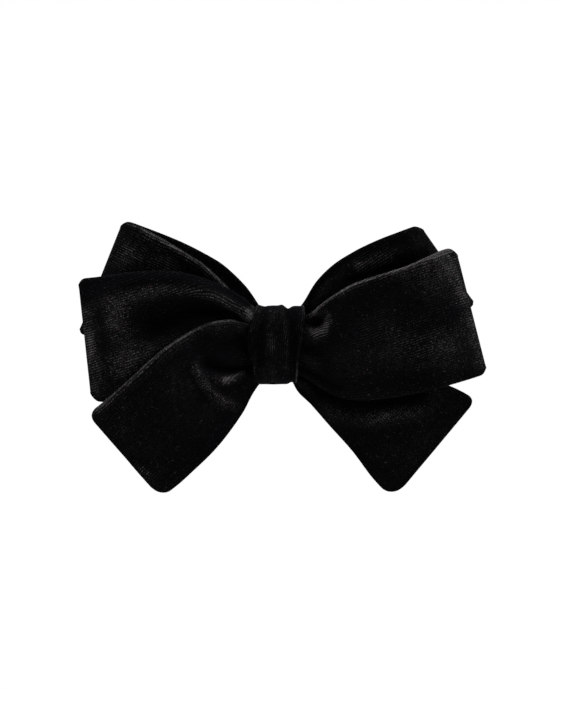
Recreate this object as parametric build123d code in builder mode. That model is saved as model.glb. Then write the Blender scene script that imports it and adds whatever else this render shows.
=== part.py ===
from build123d import *

import os
from math import asin, cos, radians, sin, sqrt

# Velvet hair bow on a spring barrette clip.
#
# Frame: millimetres. +X is to the right along the clip as one faces the bow, +Z is up across the bow,
# and the bow's face looks along -Y. The origin is the middle of the base plate's hair side, so the hair
# goes through the gap on the +Y side of the origin.
#
# The bow is two closed bands of velvet tube (front and back), two closed tails, and a wrap round the
# middle that also holds the clip's base plate. The clip is pressed steel: plate, arm, pin, leaf spring
# and a pinch catch.

# ---------------------------------------------------------------- driving dimensions
cloth = 1.6  # a flattened velvet tube, two layers thick
root_x = 8.0  # half length of the strips' flat roots inside the knot
root_half_height = 11.3  # gathered half height of every strip in the knot
corner_radius = 3.5  # rounded corners of the turned tubes
depth_reach = 60.0  # half depth of the prisms that trim outlines

# Depths of the layers in the knot, front face and back face of each strip.
left_tail_front = -12.3
front_band_front, front_band_back = -10.6, -7.4
right_tail_front = -7.3
back_band_front, back_band_back = -5.6, -2.4

# The lobes: how each loop leans, and how far its fold is from the knot's centre.
front_left_lean, front_left_reach = -7.7, 71.5
front_right_lean, front_right_reach = 13.1, 72.0
back_left_lean, back_left_reach = 22.0, 70.3
back_right_lean, back_right_reach = 36.9, 67.2

# The knot.
wrap_width = 20.0
wrap_height = 29.0
wrap_front, wrap_back = -14.8, 1.65
wrap_inner_front, wrap_inner_back = -13.1, 0.45
wrap_side_wall = 1.6
wrap_corner, wrap_inner_corner = 4.0, 1.2
glue_length, glue_width, glue_corner = 14.0, 7.0, 2.5
stitch_count, stitch_pitch, stitch_radius = 5, 3.8, 0.25
stitch_low, stitch_high = -9.6, -7.2
stitch_lift, stitch_rise = 0.3, 0.2  # off the wrap's cloth at the ends, and more in the middle
thread_radius = 0.3
thread_turns = 7
thread_pitch = 0.8

# The clip.
plate_length = 82.0
plate_width = 8.0
plate_thickness = 0.8
plate_radius = 160.0  # hair side of the base plate
sewing_hole_x, sewing_hole_radius = 28.0, 0.9
arm_gap = 7.8  # plate to arm at the middle
arm_radius = 180.0  # bow side of the arm
arm_thickness = 0.8
arm_width = 5.6
ear_thickness = 0.8
pin_radius = 0.75
pin_clearance = 0.05
pin_x, pin_y = -38.5, 12.3
pin_head_radius, pin_head_height, pin_head_round = 1.25, 0.5, 0.25
eye_radius = 1.55
lug_radius = 0.5
lug_x, lug_y = -37.0, 7.0
lug_clearance = 0.1
leaf_thickness = 0.4
leaf_width = 5.0
catch_x = 38.2  # where the catch stands on the plate
prong_thickness = 0.6
prong_gap = 2.4  # between the two prongs
prong_length = 4.0
prong_tip = 11.6  # height of the finger tabs above the plate
barb_underside = 8.2  # height of the barbs above the plate
barb_height = 0.9
barb_reach = 1.1
window_half_width = 2.4
window_start, window_end = 32.6, 39.9
bracket_thickness = 0.6
bracket_width = 6.4
bracket_lift = 0.12  # a flat strip on a curved plate
bracket_inner_end, bracket_outer_end = -6.0, 2.6
rivet_x = -4.0
rivet_radius = 0.75
rivet_head_radius = 1.4
rivet_head_height = 0.5


def plate_back(x):
    """Y of the plate's hair side at x."""
    return plate_radius - sqrt(plate_radius**2 - x**2)


def arm_front(x):
    """Y of the arm's bow side at x."""
    return arm_gap + arm_radius - sqrt(arm_radius**2 - x**2)


# ---------------------------------------------------------------- soft strips: shared shapes
def fan_outline(top, bottom, rounded=True):
    """The face-on outline of a strip: its top edge, its straight end and its bottom edge, in X and Z."""
    with BuildSketch(Plane.XZ) as outline:
        with BuildLine():
            Spline(*top)
            Line(top[-1], bottom[-1])
            Spline(*bottom)
            Line(bottom[0], top[0])
        make_face()
        if rounded:
            ends = outline.vertices().sort_by(lambda v: -abs(v.X))[:2]
            fillet(ends, radius=corner_radius)
    return outline.sketch


def lobe_plane(side, lean):
    """A plane seen from the strip's edge: its X runs out along the loop and its Y is the row's +Y."""
    out = Vector(side * cos(radians(lean)), 0, sin(radians(lean)))
    return Plane(origin=(0, 0, 0), x_dir=out, z_dir=out.cross(Vector(0, 1, 0)))


def lobe_section(plane, front, fold, back, hollow_front, hollow_fold, hollow_back):
    """A loop seen from its edge: front panel, fold and back panel round a pointed hollow."""
    with BuildSketch(plane) as section:
        with BuildLine():
            Spline(*front)
            ThreePointArc(front[-1], fold, back[0])
            Spline(*back)
            Line(back[-1], front[0])
        make_face()
        with BuildLine():
            Spline(*hollow_front)
            ThreePointArc(hollow_front[-1], hollow_fold, hollow_back[0])
            Spline(*hollow_back)
        make_face(mode=Mode.SUBTRACT)
    return section.sketch


def front_lobe(side, lean, reach, outline):
    """One puffed loop of the front band."""
    section = lobe_section(
        lobe_plane(side, lean),
        [(7, front_band_front), (13, -10.9), (20, -14.2), (32, -21), (50, -24.2), (reach - 4, -22.6)],
        (reach, -18.6),
        [(reach - 4, -14.6), (50, -14.0), (32, -12.6), (20, -10.3), (13, -8.2), (7, front_band_back)],
        [(21, -12.3), (32, -19.3), (50, -22.6), (reach - 4, -21.0)],
        (reach - cloth, -18.6),
        [(reach - 4, -16.2), (50, -15.6), (32, -14.2), (21, -12.3)],
    )
    with BuildPart() as lobe:
        extrude(to_extrude=section, amount=depth_reach, both=True)
        extrude(to_extrude=outline, amount=depth_reach, both=True, mode=Mode.INTERSECT)
    return lobe.part


def back_lobe(side, lean, reach, outline):
    """One flatter loop of the back band."""
    section = lobe_section(
        lobe_plane(side, lean),
        [(7, back_band_front), (14, -5.6), (22, -6.6), (32, -9.2), (48, -11), (reach - 3.5, -9.9)],
        (reach, -6.4),
        [(reach - 3.5, -2.9), (45, -2.1), (22, -2.4), (7, back_band_back)],
        [(24, -4.6), (34, -7.8), (48, -9.4), (reach - 3.5, -8.3)],
        (reach - cloth, -6.4),
        [(reach - 3.5, -4.5), (45, -3.7), (24, -4.6)],
    )
    with BuildPart() as lobe:
        extrude(to_extrude=section, amount=depth_reach, both=True)
        extrude(to_extrude=outline, amount=depth_reach, both=True, mode=Mode.INTERSECT)
    return lobe.part


# ---------------------------------------------------------------- front band
front_left_outline = fan_outline(
    [(-7, 11.3), (-10.2, 12), (-14, 17), (-24, 23.6), (-42.5, 27.3), (-59, 26), (-74.4, 23.9)],
    [(-7, -11.3), (-10.2, -10.5), (-24, -13), (-45, -19), (-68.4, -20.5)],
)
front_right_outline = fan_outline(
    [(7, 11.3), (10.2, 12), (16.6, 16.8), (25.9, 21.8), (46.2, 28.4), (64.5, 36.6)],
    [(7, -11.3), (10.2, -12), (16.6, -17), (38.8, -19.6), (62.8, -15.1), (76, -10.8)],
)
front_left = front_lobe(-1, front_left_lean, front_left_reach, front_left_outline)
front_right = front_lobe(1, front_right_lean, front_right_reach, front_right_outline)
front_band_thickness = front_band_back - front_band_front

with BuildPart() as front_loops:
    with Locations((0, (front_band_front + front_band_back) / 2, 0)):
        Box(2 * root_x, front_band_thickness, 2 * root_half_height)
    add(front_left)
    add(front_right)
front_loops.part.label = "front_loops"

# ---------------------------------------------------------------- back band
back_left_outline = fan_outline(
    [(-7, 11.3), (-10.2, 12.2), (-18.5, 25.5), (-27.7, 32.9), (-42, 40), (-56.6, 46.4)],
    [(-7, -11.3), (-10.2, -8), (-24, 0), (-48, 3), (-74.2, 2.6)],
)
back_right_outline = fan_outline(
    [(7, 11.3), (10.2, 12.2), (18.5, 27), (35.1, 37.3), (50.4, 44.6)],
    [(7, -11.3), (10.2, -8), (20, 3), (45, 9), (73, 13.8)],
)
back_left = back_lobe(-1, back_left_lean, back_left_reach, back_left_outline)
back_right = back_lobe(1, back_right_lean, back_right_reach, back_right_outline)
back_band_thickness = back_band_back - back_band_front

with BuildPart() as back_loops:
    with Locations((0, (back_band_front + back_band_back) / 2, 0)):
        Box(2 * root_x, back_band_thickness, 2 * root_half_height)
    add(back_left)
    add(back_right)
back_loops.part.label = "back_loops"


# ---------------------------------------------------------------- tails
def curved_sheet(root_end, *curve):
    """A strip seen from above: a straight root from root_end, then a curve; one cloth thick."""
    run_out = (Vector(*curve[-1]) - Vector(*curve[-2])).normalized()
    run_in = (Vector(*curve[0]) - Vector(*root_end)).normalized()
    with BuildSketch(Plane.XY) as section:
        with BuildLine():
            front_root = Line(root_end, curve[0])
            front = Spline(*curve, tangents=(run_in, run_out))
            back_root = Line((root_end[0], root_end[1] + cloth), (curve[0][0], curve[0][1] + cloth))
            back = Spline(*[(x, y + cloth) for x, y in curve], tangents=(run_in, run_out))
            Line(front_root @ 0, back_root @ 0)
            Line(front @ 1, back @ 1)
        make_face()
    return section.sketch


left_tail_outline = fan_outline(
    [(6, 9), (-7, 9), (-13.7, 10), (-29.6, 3.7), (-48, -8.1), (-70.9, -24)],
    [(6, -11.3), (-7, -11.3), (-10.3, -12.2), (-16, -22.5), (-27, -39.5), (-44.2, -56.6)],
)
left_tail_section = curved_sheet(
    (6, left_tail_front), (-9, left_tail_front), (-20, -18), (-32, -24.6), (-50, -27), (-76, -27)
)
with BuildPart() as left_tail:
    extrude(to_extrude=left_tail_section, amount=depth_reach, both=True)
    extrude(to_extrude=left_tail_outline, amount=depth_reach, both=True, mode=Mode.INTERSECT)
left_tail.part.label = "left_tail"

right_tail_outline = fan_outline(
    [(-6, 8), (7, 8), (15, -2), (35, -8.5), (71.8, -20)],
    [(-6, -11.3), (7, -11.3), (10.3, -12.2), (16, -25.2), (31.4, -43.5), (42, -56)],
)
right_tail_section = curved_sheet(
    (-6, right_tail_front), (10, right_tail_front), (26, -7.6), (40, -9), (76, -10)
)
with BuildPart() as right_tail:
    extrude(to_extrude=right_tail_section, amount=depth_reach, both=True)
    extrude(to_extrude=right_tail_outline, amount=depth_reach, both=True, mode=Mode.INTERSECT)
right_tail.part.label = "right_tail"

# ---------------------------------------------------------------- knot: wrap, thread, stitches, glue
wrap_middle = (wrap_front + wrap_back) / 2
wrap_inner_middle = (wrap_inner_front + wrap_inner_back) / 2
wrap_inner_height = wrap_height - 2 * wrap_side_wall

with BuildPart() as centre_wrap:
    with BuildSketch(Plane.YZ.offset(-wrap_width / 2)):
        with Locations((wrap_middle, 0)):
            RectangleRounded(wrap_back - wrap_front, wrap_height, wrap_corner)
        with Locations((wrap_inner_middle, 0)):
            RectangleRounded(
                wrap_inner_back - wrap_inner_front,
                wrap_inner_height,
                wrap_inner_corner,
                mode=Mode.SUBTRACT,
            )
    extrude(amount=wrap_width)
centre_wrap.part.label = "centre_wrap"

thread_front = left_tail_front - 0.4
thread_back = back_band_back + 0.4
thread_half_height = root_half_height + 0.4
thread_middle = (thread_front + thread_back) / 2
thread_depth = thread_back - thread_front
with BuildPart() as gathering_thread:
    for turn in range(thread_turns):
        turn_x = (turn - (thread_turns - 1) / 2) * thread_pitch
        with BuildSketch(Plane.YZ.offset(turn_x - thread_radius)):
            with Locations((thread_middle, 0)):
                RectangleRounded(
                    thread_depth + 2 * thread_radius,
                    2 * (thread_half_height + thread_radius),
                    0.9,
                )
                RectangleRounded(
                    thread_depth - 2 * thread_radius,
                    2 * (thread_half_height - thread_radius),
                    0.3,
                    mode=Mode.SUBTRACT,
                )
        extrude(amount=2 * thread_radius)
gathering_thread.part.label = "gathering_thread"

stitch_end_y = wrap_back + stitch_lift
with BuildPart() as wrap_stitches:
    for number in range(stitch_count):
        stitch_x = (number - (stitch_count - 1) / 2) * stitch_pitch
        with BuildLine(Plane.YZ.offset(stitch_x)) as stitch_path:
            ThreePointArc(
                (stitch_end_y, stitch_low),
                (stitch_end_y + stitch_rise, (stitch_low + stitch_high) / 2),
                (stitch_end_y, stitch_high),
            )
        with BuildSketch(Plane(origin=stitch_path.line @ 0, z_dir=stitch_path.line % 0)):
            Circle(stitch_radius)
        sweep(path=stitch_path.line)
wrap_stitches.part.label = "wrap_stitches"

glue_front = thread_back + thread_radius + 0.05
glue_back = -plate_thickness - 0.02
with BuildPart() as glue_pad:
    with Locations((0, (glue_front + glue_back) / 2, 0)):
        Box(glue_length, glue_back - glue_front, glue_width)
    fillet(glue_pad.edges().filter_by(Axis.Y), radius=glue_corner)
glue_pad.part.label = "glue_pad"

# ---------------------------------------------------------------- clip: the catch's own planes
# The catch stands square to the curved plate, on planes of its own.
catch_slope = asin(catch_x / plate_radius)
catch_along = Vector(cos(catch_slope), sin(catch_slope), 0)
catch_away = Vector(-sin(catch_slope), cos(catch_slope), 0)
catch_foot = Vector(catch_x, plate_back(catch_x), 0)
catch_plan = Plane(origin=catch_foot, x_dir=catch_along, z_dir=catch_away)
# Seen along the plate: X is across the plate, Y is away from it.
catch_section = Plane(origin=catch_foot, x_dir=(0, 0, 1), z_dir=-catch_along)

# ---------------------------------------------------------------- clip: base plate with hinge ears
plate_end = plate_length / 2
plate_front_radius = plate_radius + plate_thickness
ear_left, ear_right = -plate_end, -34.8
ear_top_radius = 2.3
ear_inner = plate_width / 2 - ear_thickness


def plate_front(x):
    """Y of the plate's bow side at x."""
    return plate_radius - sqrt(plate_front_radius**2 - x**2)


with BuildPart() as base_plate:
    with BuildSketch(Plane.XY.offset(-plate_width / 2)):
        with BuildLine():
            front_arc = ThreePointArc(
                (-plate_end, plate_front(plate_end)),
                (0, -plate_thickness),
                (plate_end, plate_front(plate_end)),
            )
            back_arc = ThreePointArc(
                (plate_end, plate_back(plate_end)),
                (0, 0),
                (-plate_end, plate_back(plate_end)),
            )
            Line(front_arc @ 1, back_arc @ 0)
            Line(back_arc @ 1, front_arc @ 0)
        make_face()
    extrude(amount=plate_width)
    # The two ears are bent up from the plate's edges and carry the pin and the leaf spring's lugs.
    for ear_z in (-plate_width / 2, ear_inner):
        with BuildSketch(Plane.XY.offset(ear_z)):
            with BuildLine():
                Polyline(
                    (ear_left, plate_back(ear_left) - 0.4),
                    (ear_right, plate_back(ear_right) - 0.4),
                    (ear_right, 8.2),
                    (pin_x + ear_top_radius, pin_y),
                )
                ThreePointArc(
                    (pin_x + ear_top_radius, pin_y),
                    (pin_x, pin_y + ear_top_radius),
                    (pin_x - ear_top_radius, pin_y),
                )
                Polyline(
                    (pin_x - ear_top_radius, pin_y),
                    (ear_left, 9.5),
                    (ear_left, plate_back(ear_left) - 0.4),
                )
            make_face()
            with Locations((pin_x, pin_y)):
                Circle(pin_radius + pin_clearance, mode=Mode.SUBTRACT)
            with Locations((lug_x, lug_y)):
                Circle(lug_radius + lug_clearance, mode=Mode.SUBTRACT)
        extrude(amount=ear_thickness)
    # A maker's sewing hole near each end, unused on this bow. A third hole takes the catch's rivet.
    for hole_x in (-sewing_hole_x, sewing_hole_x):
        with BuildSketch(Plane.XZ):
            with Locations((hole_x, 0)):
                Circle(sewing_hole_radius)
        extrude(amount=depth_reach, both=True, mode=Mode.SUBTRACT)
    with BuildSketch(catch_plan):
        with Locations((rivet_x, 0)):
            Circle(rivet_radius + pin_clearance)
    extrude(amount=3, both=True, mode=Mode.SUBTRACT)
base_plate.part.label = "base_plate"

pin_half_length = plate_width / 2 + pin_clearance
with BuildPart() as hinge_pin:
    with BuildSketch(Plane.XY.offset(-pin_half_length)):
        with Locations((pin_x, pin_y)):
            Circle(pin_radius)
    extrude(amount=2 * pin_half_length)
    for head_z in (-pin_half_length - pin_head_height, pin_half_length):
        with BuildSketch(Plane.XY.offset(head_z)):
            with Locations((pin_x, pin_y)):
                Circle(pin_head_radius)
        extrude(amount=pin_head_height)
    head_edges = hinge_pin.edges().filter_by(GeomType.CIRCLE).group_by(Axis.Z)
    fillet(head_edges[0] + head_edges[-1], radius=pin_head_round)
hinge_pin.part.label = "hinge_pin"

# ---------------------------------------------------------------- clip: arm
arm_back_radius = arm_radius - arm_thickness
arm_end = 41.8
arm_start = pin_x + 0.6
head_start = 30.9
head_half_width = 4.3


def arm_back(x):
    """Y of the arm's hair side at x."""
    return arm_gap + arm_radius - sqrt(arm_back_radius**2 - x**2)


with BuildPart() as clasp_arm:
    with BuildSketch(Plane.XY):
        with BuildLine():
            bow_side = ThreePointArc(
                (arm_start, arm_front(arm_start)),
                (0, arm_gap),
                (arm_end, arm_front(arm_end)),
            )
            hair_side = ThreePointArc(
                (arm_end, arm_back(arm_end)),
                (0, arm_gap + arm_thickness),
                (arm_start, arm_back(arm_start)),
            )
            Line(bow_side @ 1, hair_side @ 0)
            Line(hair_side @ 1, bow_side @ 0)
        make_face()
    extrude(amount=plate_width, both=True)
    # Seen from the hair side the arm is a narrow strip that widens to a head with a window for the prongs.
    with BuildSketch(Plane.XZ):
        with BuildLine():
            Polyline(
                (arm_start, -arm_width / 2),
                (head_start - 3, -arm_width / 2),
                (head_start, -head_half_width),
                (arm_end, -head_half_width),
                (arm_end, head_half_width),
                (head_start, head_half_width),
                (head_start - 3, arm_width / 2),
                (arm_start, arm_width / 2),
                close=True,
            )
        make_face()
    extrude(amount=depth_reach, both=True, mode=Mode.INTERSECT)
    fillet(clasp_arm.edges().filter_by(Axis.Y, tolerance=15).sort_by(Axis.X)[-2:], radius=1.8)
    with BuildSketch(Plane.XZ):
        with Locations(((window_start + window_end) / 2, 0)):
            RectangleRounded(window_end - window_start, 2 * window_half_width, 0.6)
    extrude(amount=depth_reach, both=True, mode=Mode.SUBTRACT)
    # The rolled eye turns on the pin.
    with BuildSketch(Plane.XY.offset(-arm_width / 2)):
        with Locations((pin_x, pin_y)):
            Circle(eye_radius)
    extrude(amount=arm_width)
    with BuildSketch(Plane.XY.offset(-arm_width / 2)):
        with Locations((pin_x, pin_y)):
            Circle(pin_radius + pin_clearance)
    extrude(amount=arm_width, mode=Mode.SUBTRACT)
clasp_arm.part.label = "clasp_arm"

# ---------------------------------------------------------------- clip: leaf spring
leaf_middle_y = 2.3
leaf_end_x, leaf_end_y = 29.5, 3.45
with BuildPart() as leaf_spring:
    with BuildSketch(Plane.XY.offset(-leaf_width / 2)):
        with BuildLine():
            under = ThreePointArc(
                (lug_x, lug_y - leaf_thickness / 2),
                (-2, leaf_middle_y),
                (leaf_end_x, leaf_end_y),
            )
            over = ThreePointArc(
                (leaf_end_x, leaf_end_y + leaf_thickness),
                (-2, leaf_middle_y + leaf_thickness),
                (lug_x, lug_y + leaf_thickness / 2),
            )
            Line(under @ 1, over @ 0)
            Line(over @ 1, under @ 0)
        make_face()
    extrude(amount=leaf_width)
    fillet(leaf_spring.edges().filter_by(Axis.Y, tolerance=15).sort_by(Axis.X)[-2:], radius=1.5)
    # Round lugs hook the leaf into the plate's ears.
    with BuildSketch(Plane.XY.offset(-plate_width / 2 - 0.2)):
        with Locations((lug_x, lug_y)):
            Circle(lug_radius)
    extrude(amount=plate_width + 0.4)
leaf_spring.part.label = "leaf_spring"

# ---------------------------------------------------------------- clip: pinch catch
with BuildPart() as catch_bracket:
    with BuildSketch(catch_plan.offset(bracket_lift)):
        with Locations(((bracket_inner_end + bracket_outer_end) / 2, 0)):
            RectangleRounded(bracket_outer_end - bracket_inner_end, bracket_width, 1.0)
        with Locations((rivet_x, 0)):
            Circle(rivet_radius + pin_clearance, mode=Mode.SUBTRACT)
    extrude(amount=bracket_thickness)
catch_bracket.part.label = "catch_bracket"

bracket_top = bracket_lift + bracket_thickness
rivet_profile = [
    (0, -plate_thickness - rivet_head_height),
    (rivet_head_radius, -plate_thickness - rivet_head_height),
    (rivet_head_radius, -plate_thickness - 0.02),
    (rivet_radius, -plate_thickness - 0.02),
    (rivet_radius, bracket_top + 0.02),
    (rivet_head_radius, bracket_top + 0.02),
    (rivet_head_radius - 0.4, bracket_top + rivet_head_height),
    (0, bracket_top + rivet_head_height),
]
rivet_foot = catch_foot + catch_along * rivet_x
with BuildPart() as catch_rivet:
    with BuildSketch(Plane(origin=rivet_foot, x_dir=catch_along, z_dir=(0, 0, 1))):
        with BuildLine():
            Polyline(*rivet_profile, close=True)
        make_face()
    revolve(axis=Axis(rivet_foot, catch_away))
catch_rivet.part.label = "catch_rivet"

prong_pivot = bracket_top + 0.05 + prong_thickness / 2
prong_inner = prong_gap / 2
prong_outer = prong_inner + prong_thickness
prong_profile = [
    (prong_inner, prong_pivot),
    (prong_inner, barb_underside + 0.6),
    (prong_inner + 1.1, prong_tip),
    (prong_outer + 1.1, prong_tip),
    (prong_outer + 0.35, barb_underside + barb_height + 0.4),
    (prong_outer + barb_reach, barb_underside + 0.4),
    (prong_outer + barb_reach, barb_underside),
    (prong_outer, barb_underside),
    (prong_outer, prong_pivot),
]


def build_prong(side):
    """One springy prong with a barb on its outer face and a finger tab at its tip."""
    with BuildPart() as prong:
        with BuildSketch(catch_section):
            with BuildLine():
                Polyline(*[(side * across, away) for across, away in prong_profile], close=True)
            make_face()
            with Locations((side * (prong_inner + prong_outer) / 2, prong_pivot)):
                Circle(prong_thickness / 2)
        extrude(amount=prong_length / 2, both=True)
    return prong.part


with BuildPart() as catch_prong_upper:
    add(build_prong(1))
catch_prong_upper.part.label = "catch_prong_upper"

with BuildPart() as catch_prong_lower:
    add(build_prong(-1))
catch_prong_lower.part.label = "catch_prong_lower"

# ---------------------------------------------------------------- export
os.makedirs("parts", exist_ok=True)
export_step(front_loops.part, "parts/front_loops.step")
export_step(back_loops.part, "parts/back_loops.step")
export_step(left_tail.part, "parts/left_tail.step")
export_step(right_tail.part, "parts/right_tail.step")
export_step(centre_wrap.part, "parts/centre_wrap.step")
export_step(gathering_thread.part, "parts/gathering_thread.step")
export_step(wrap_stitches.part, "parts/wrap_stitches.step")
export_step(glue_pad.part, "parts/glue_pad.step")
export_step(base_plate.part, "parts/base_plate.step")
export_step(hinge_pin.part, "parts/hinge_pin.step")
export_step(clasp_arm.part, "parts/clasp_arm.step")
export_step(leaf_spring.part, "parts/leaf_spring.step")
export_step(catch_bracket.part, "parts/catch_bracket.step")
export_step(catch_rivet.part, "parts/catch_rivet.step")
export_step(catch_prong_upper.part, "parts/catch_prong_upper.step")
export_step(catch_prong_lower.part, "parts/catch_prong_lower.step")
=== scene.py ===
"""Looks for the velvet hair bow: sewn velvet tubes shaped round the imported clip, and their materials.

Lengths in the tables of this script are millimetres in the CAD frame: X right, Z up, and Y towards the
head, so the viewer is on the -Y side. They become metres when a mesh is made.
"""

import math

import bpy
import numpy as np
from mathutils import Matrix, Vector


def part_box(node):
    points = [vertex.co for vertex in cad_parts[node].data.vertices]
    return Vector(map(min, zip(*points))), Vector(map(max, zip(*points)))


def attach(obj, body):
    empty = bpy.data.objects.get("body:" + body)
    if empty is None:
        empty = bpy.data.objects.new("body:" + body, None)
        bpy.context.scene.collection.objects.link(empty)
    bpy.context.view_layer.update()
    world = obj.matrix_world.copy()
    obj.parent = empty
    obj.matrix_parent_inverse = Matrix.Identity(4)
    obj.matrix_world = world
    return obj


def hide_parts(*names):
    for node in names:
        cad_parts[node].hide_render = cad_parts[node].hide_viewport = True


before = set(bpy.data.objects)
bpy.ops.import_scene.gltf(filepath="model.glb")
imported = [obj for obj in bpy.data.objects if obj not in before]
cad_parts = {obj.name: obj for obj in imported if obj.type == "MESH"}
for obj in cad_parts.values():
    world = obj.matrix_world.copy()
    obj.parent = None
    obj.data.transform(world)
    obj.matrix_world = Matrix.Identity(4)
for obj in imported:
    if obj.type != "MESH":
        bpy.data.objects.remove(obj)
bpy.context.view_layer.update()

MM = 0.001

# The sewn tubes.
STRIP_WIDTH = 45.0  # finished width of the front band and of both tails
BACK_BAND_WIDTH = 43.0
WRAP_WIDTH = 22.0  # flat width of the wrap before it is gathered
CLOTH_HALF = 0.75  # half thickness of a flattened tube
WRAP_HALF = 0.6  # half thickness of the wrap
EDGE_RADIUS = 1.0  # a tube's sides are rounder and a little thicker
EDGE_FULLNESS = 1.6  # how far in from a side this fullness reaches
UNEVENNESS = 0.22  # height of the random waviness of a strip

# The wrap.
WRAP_SEEN = 20.0  # width of the wrap as it lies on the knot
WRAP_ROLL = 1.4  # width of its rolled edges
WRAP_UNEVENNESS = 0.05
WRAP_BACK_SHARE = 0.94  # width of its back, as a share of the CAD ring
# painted light on the wrap's crests and painted shade in its valleys
WRAP_CREST_LIGHT_AND_SHADE = 0.32
WRAP_HIGH_CREST = 0.6

# The ribs of the velvet, which are its wales.
RIB_PITCH = 0.92
WALES_GATHERED = 12.0  # up to this distance from the knot the wales follow the gathers
WALES_PARALLEL = 40.0  # beyond this distance they all run at the strip's own angle
WALES_LOOSE = 0.35  # 0 squeezes the wales together there as much as the strip narrows, 1 not at all

# Nap is how far the pile lies open: 1 is pile laid open, 0 is deep upright pile. Painted highlights and
# painted shade are carried in the same values.
PLAIN_NAP = 0.36  # pile standing as woven
INNER_FILL_LIGHT = 0.55  # painted light: the insides of the loops are lighter than plain pile, lifting their shadow
SIDE_SHADE = 0.22  # painted shade on the rounded sides of a tube
CREST_LIGHT_AND_HOLLOW_SHADE = 0.34  # how much lighter a high crest is, partly pile rubbed open and partly painted highlight, and how much darker a hollow is, as painted shade
HIGH_CREST = 2.2  # height of such a crest
GATHER_LIGHT_AND_SHADE = 0.16  # painted highlight on the crest of a gather and painted shade in its trough
EDGE_LIGHT_REACH = 0.7  # width of the painted edge highlight and edge shade along an edge

# The meshes.
STEP = 0.7  # pitch of the grid on the strips
STRIP_COLUMNS = int(round(STRIP_WIDTH / STEP))
WRAP_STEP = 0.5  # pitch round the wrap
WRAP_COLUMNS = 84
EDGE_SAMPLES = 60
TANGENT_REACH = 0.002  # part of the ring to each side in which its direction is taken
SIDE_POINTS = 5  # points round each side of a tube
CURVE_SAMPLES = 600
LENGTH_SAMPLES = 300
FOLD_SAMPLES = 120
TINY = 1e-9

ROOM_LIGHT = 0.2  # strength of the world as a light


# ---------------------------------------------------------------- curves and soft relief
def smooth_curve(points, fractions):
    """Points at the given fractions of the length of a smooth curve through points."""
    p = np.asarray(points, float)
    chord = np.concatenate([[0.0], np.cumsum(np.linalg.norm(np.diff(p, axis=0), axis=1))])
    slope = np.gradient(p, chord, axis=0, edge_order=2 if len(p) > 2 else 1)
    fine = np.linspace(0, chord[-1], CURVE_SAMPLES)
    k = np.clip(np.searchsorted(chord, fine, side="right") - 1, 0, len(p) - 2)
    h = (chord[k + 1] - chord[k])[:, None]
    f = (fine - chord[k])[:, None] / h
    q = (
        (2 * f**3 - 3 * f**2 + 1) * p[k]
        + (f**3 - 2 * f**2 + f) * h * slope[k]
        + (3 * f**2 - 2 * f**3) * p[k + 1]
        + (f**3 - f**2) * h * slope[k + 1]
    )
    length = np.concatenate([[0.0], np.cumsum(np.linalg.norm(np.diff(q, axis=0), axis=1))])
    at = np.asarray(fractions) * length[-1]
    return np.stack([np.interp(at, length, q[:, i]) for i in range(p.shape[1])], axis=-1)


def curve_length(points):
    """Length of the smooth curve through points."""
    q = smooth_curve(points, np.linspace(0, 1, LENGTH_SAMPLES))
    return np.linalg.norm(np.diff(q, axis=0), axis=1).sum()


def smoothstep(low, high, x):
    """0 below low, 1 above high, smooth between."""
    t = np.clip((x - low) / (high - low), 0, 1)
    return t * t * (3 - 2 * t)


def fold_relief(x, z, folds):
    """Height towards the viewer made by soft folds.

    A fold is (line, height, width at its start, width at its end). A valley has a negative height.
    """
    total = np.zeros_like(x)
    along = np.linspace(0, 1, FOLD_SAMPLES)
    for line, height, width_start, width_end in folds:
        path = smooth_curve(line, along)
        square = (x[..., None] - path[:, 0]) ** 2 + (z[..., None] - path[:, 1]) ** 2
        nearest = square.argmin(axis=-1)
        width = width_start + (width_end - width_start) * along[nearest]
        total += height * np.exp(-square.min(axis=-1) / width**2)
    return total


def unevenness(u, v, size, seed):
    """A gentle random waviness of the given size, the same on every run."""
    rng = np.random.default_rng(seed)
    waves = 7
    usual_sum = 2.6  # of that many sines
    total = 0
    for _ in range(waves):
        wavelength = rng.uniform(11, 30)
        heading = rng.uniform(0, 2 * math.pi)
        phase = rng.uniform(0, 2 * math.pi)
        wave = (u * math.cos(heading) + v * math.sin(heading)) * 2 * math.pi / wavelength
        total += np.sin(wave + phase)
    return total * size / usual_sum


# ---------------------------------------------------------------- a flattened tube of cloth
def grid_of(x, y, z):
    """A grid of points or directions from its three coordinates."""
    return np.stack([x, y, z], axis=-1)


def surface_normals(c):
    """Unit normals of a grid of points, on the side that rows cross columns."""
    along = np.gradient(c, axis=0)
    across = np.gradient(c, axis=1)
    n = np.cross(along, across)
    return n / np.maximum(np.linalg.norm(n, axis=-1, keepdims=True), TINY)


def ring_naps(front, back):
    """Nap for the vertices of tube_rings. The rounded sides get painted shade and are darker than the
    sheets.
    """
    far = np.repeat(front[:, -1:], SIDE_POINTS, axis=1) - SIDE_SHADE
    near = np.repeat(front[:, :1], SIDE_POINTS, axis=1) - SIDE_SHADE
    return np.concatenate([front, far, back[:, ::-1], near], axis=1)


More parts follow.
